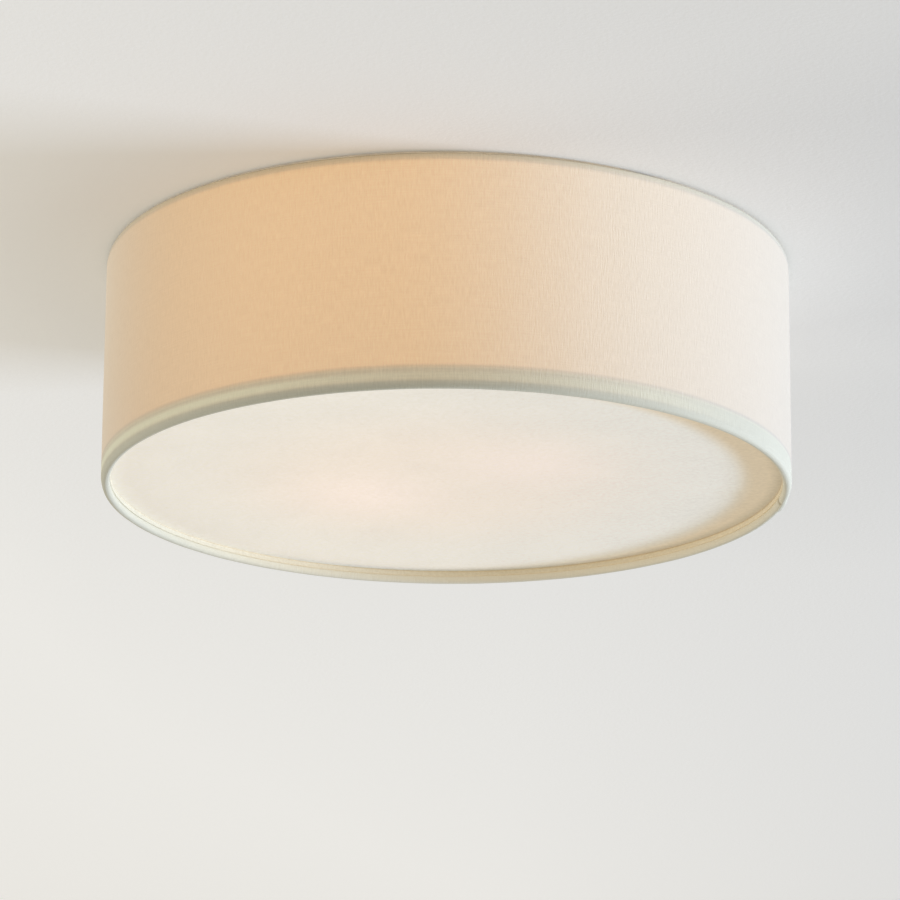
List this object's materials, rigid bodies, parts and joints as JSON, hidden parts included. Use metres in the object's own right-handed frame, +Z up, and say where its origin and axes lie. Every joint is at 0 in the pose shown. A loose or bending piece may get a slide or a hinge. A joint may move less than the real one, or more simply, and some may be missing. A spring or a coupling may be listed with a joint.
{
  "type": "flush mount ceiling light",
  "caption": "Round drum ceiling light: linen shade with a recessed frosted diffuser, hung by keyhole feet under a shallow pan with screw-in bulbs lying flat.",
  "frame": {"origin": "centre of the ceiling plane, on the axis of the drum, where the pan's lip meets the ceiling", "axes": "+Z up into the ceiling, the light hangs below; +X along the line of the bulbs; +Y along the crossbar"},
  "size_m": [0.3999, 0.4, 0.1369],
  "materials": {
    "zinc_plated_steel": "zinc plated, satin",
    "bright_zinc_fasteners": "bright zinc plated",
    "green_zinc_screw": "green dyed zinc",
    "white_enamelled_pan": "satin powder coat",
    "glass_fibre_pad": "matt felted glass fibre",
    "nickel_plated_brass": "satin nickel plate",
    "white_polyamide_block": "moulded, satin",
    "brass_screws": "plain brass",
    "black_nylon_bushing": "moulded, satin",
    "glazed_porcelain": "glossy white glaze",
    "brass_shell": "rolled brass sheet",
    "black_lead": "extruded insulation",
    "white_lead": "extruded insulation",
    "green_lead": "extruded insulation",
    "linen_cloth": "plain woven linen, off white",
    "styrene_lining": "calendered translucent sheet",
    "white_lacquered_wire": "white powder coat",
    "frosted_acrylic": "opal sheet with a frosted face",
    "bulb_contact_glass": "black vitrite glass with solder",
    "nickel_plated_base": "nickel plated screw base",
    "white_bulb_housing": "moulded, satin",
    "opal_globe": "opal, lit from inside"
  },
  "bodies": {
    "ceiling_side": {"block_screws": "bright_zinc_fasteners", "bracket_screws": "bright_zinc_fasteners", "cap_nuts": "nickel_plated_brass", "ceiling_pan": "white_enamelled_pan", "crossbar": "zinc_plated_steel", "crossbar_studs": "bright_zinc_fasteners", "ground_lead": "green_lead", "ground_ring": "zinc_plated_steel", "ground_screw": "green_zinc_screw", "hanger_nuts": "bright_zinc_fasteners", "hanger_screws": "bright_zinc_fasteners", "holder_screws": "bright_zinc_fasteners", "insulation_pad": "glass_fibre_pad", "lead_bushings": "black_nylon_bushing", "left_lampholder": "glazed_porcelain", "left_line_lead": "black_lead", "left_neutral_lead": "white_lead", "left_socket_bracket": "zinc_plated_steel", "left_socket_contact": "brass_shell", "left_socket_shell": "brass_shell", "right_lampholder": "glazed_porcelain", "right_line_lead": "black_lead", "right_neutral_lead": "white_lead", "right_socket_bracket": "zinc_plated_steel", "right_socket_contact": "brass_shell", "right_socket_shell": "brass_shell", "stud_nuts": "bright_zinc_fasteners", "terminal_block": "white_polyamide_block", "terminal_screws": "brass_screws"},
    "shade": {"shade_fabric": "linen_cloth", "shade_liner": "styrene_lining", "upper_wire_ring": "white_lacquered_wire", "lower_wire_ring": "white_lacquered_wire", "shade_arms": "white_lacquered_wire", "diffuser_ledge": "white_lacquered_wire"},
    "diffuser": {"diffuser_panel": "frosted_acrylic"},
    "right_bulb_travel": {"right_bulb_base": "nickel_plated_base", "right_bulb_tip": "bulb_contact_glass"},
    "right_bulb": {"right_bulb_neck": "white_bulb_housing", "right_bulb_globe": "opal_globe"},
    "left_bulb_travel": {"left_bulb_base": "nickel_plated_base", "left_bulb_tip": "bulb_contact_glass"},
    "left_bulb": {"left_bulb_neck": "white_bulb_housing", "left_bulb_globe": "opal_globe"}
  },
  "joints": [
    {"name": "shade_twist", "type": "hinge", "parent": "ceiling_side", "child": "shade", "pos_m": [0, 0, -0.0235], "axis": [0, 0, 1], "range_deg": [-12, 0]},
    {"name": "diffuser_lift", "type": "slide", "parent": "shade", "child": "diffuser", "axis": [0, 0, 1], "range_m": [0, 0.02]},
    {"name": "right_bulb_slide", "type": "slide", "parent": "ceiling_side", "child": "right_bulb_travel", "axis": [-1, 0, 0], "range_m": [0, 0.01816]},
    {"name": "right_bulb_turn", "type": "hinge", "parent": "right_bulb_travel", "child": "right_bulb", "pos_m": [0.0576, 0, -0.072], "axis": [-1, 0, 0], "range_deg": [0, 1800]},
    {"name": "left_bulb_slide", "type": "slide", "parent": "ceiling_side", "child": "left_bulb_travel", "axis": [1, 0, 0], "range_m": [0, 0.01816]},
    {"name": "left_bulb_turn", "type": "hinge", "parent": "left_bulb_travel", "child": "left_bulb", "pos_m": [-0.0576, 0, -0.072], "axis": [1, 0, 0], "range_deg": [0, 1800]}
  ],
  "couplings": [
    {"joint": "right_bulb_slide", "follows": "right_bulb_turn", "m_per_rad": 0.00057757},
    {"joint": "left_bulb_slide", "follows": "left_bulb_turn", "m_per_rad": 0.00057757}
  ]
}
